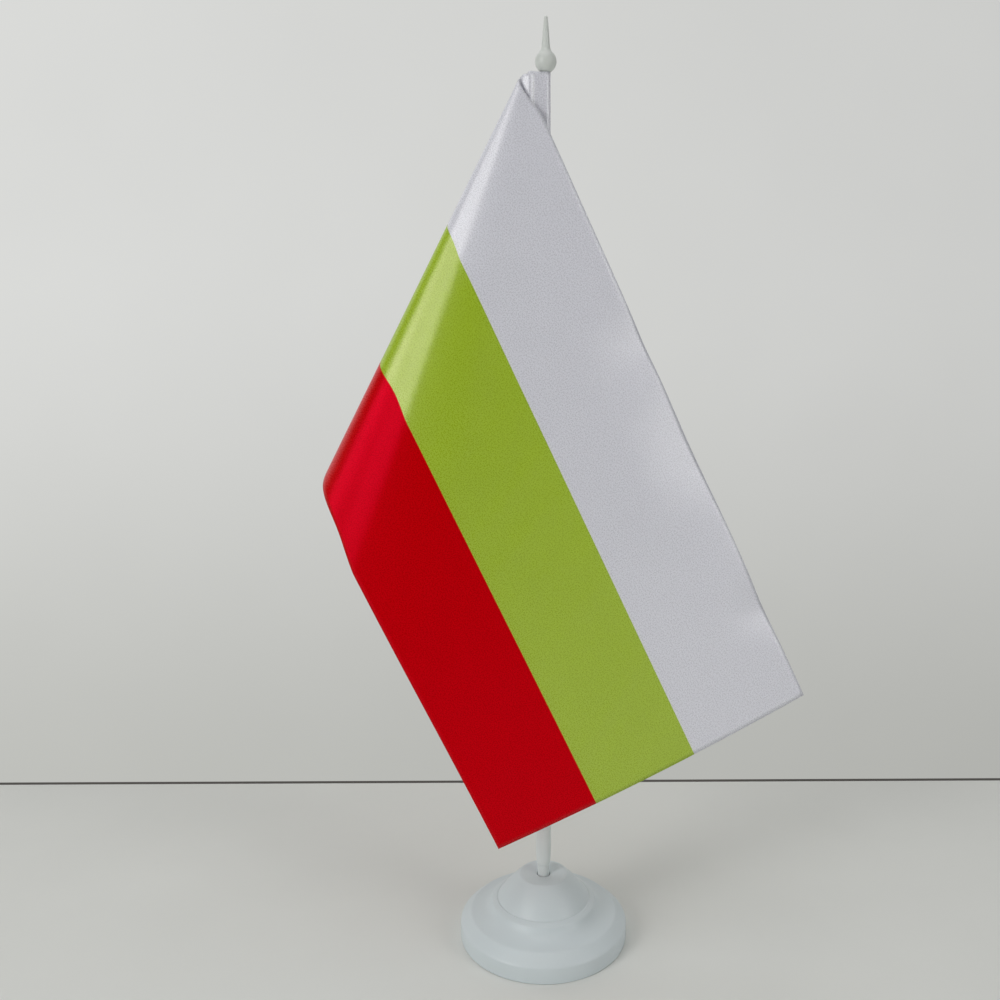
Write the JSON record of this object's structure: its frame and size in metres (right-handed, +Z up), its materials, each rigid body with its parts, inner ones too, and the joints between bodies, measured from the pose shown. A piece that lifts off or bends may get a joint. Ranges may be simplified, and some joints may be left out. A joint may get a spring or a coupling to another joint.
{
  "type": "desk flag stand",
  "caption": "Desk flag on a tapered plastic pole with a ball-and-spike finial, its draped cloth hanging from a sewn sleeve, in a stepped round plastic base.",
  "frame": {"origin": "middle of the underside of the base, on the pole's axis, at the height of the desk", "axes": "+Z up along the pole; -Y the side that the flag's front layer faces; +X the side that the flag's fly end hangs towards"},
  "size_m": [0.2069, 0.0766, 0.4001],
  "materials": {
    "base_plastic": "moulded white plastic, soft satin sheen",
    "pole_plastic": "moulded white plastic, soft satin sheen",
    "finial_plastic": "moulded white plastic, soft satin sheen",
    "flag_cloth": "fine satin polyester printed in three stripes, white, light green and red",
    "seam_thread": "white polyester sewing thread"
  },
  "bodies": {
    "base": {"base": "base_plastic"},
    "pole": {"pole": "pole_plastic"},
    "finial": {"finial": "finial_plastic"},
    "flag": {"flag": "flag_cloth", "seam_thread_front": "seam_thread", "seam_thread_back": "seam_thread"}
  },
  "joints": [
    {"name": "pole_lift", "type": "slide", "parent": "base", "child": "pole", "axis": [0, 0, 1], "range_m": [0, 0.026]},
    {"name": "flag_turn", "type": "hinge", "parent": "pole", "child": "flag", "pos_m": [0, 0, 0.3037], "axis": [0, 0, 1], "continuous": true},
    {"name": "finial_pull", "type": "slide", "parent": "pole", "child": "finial", "axis": [0, 0, 1], "range_m": [0, 0.0046]}
  ]
}
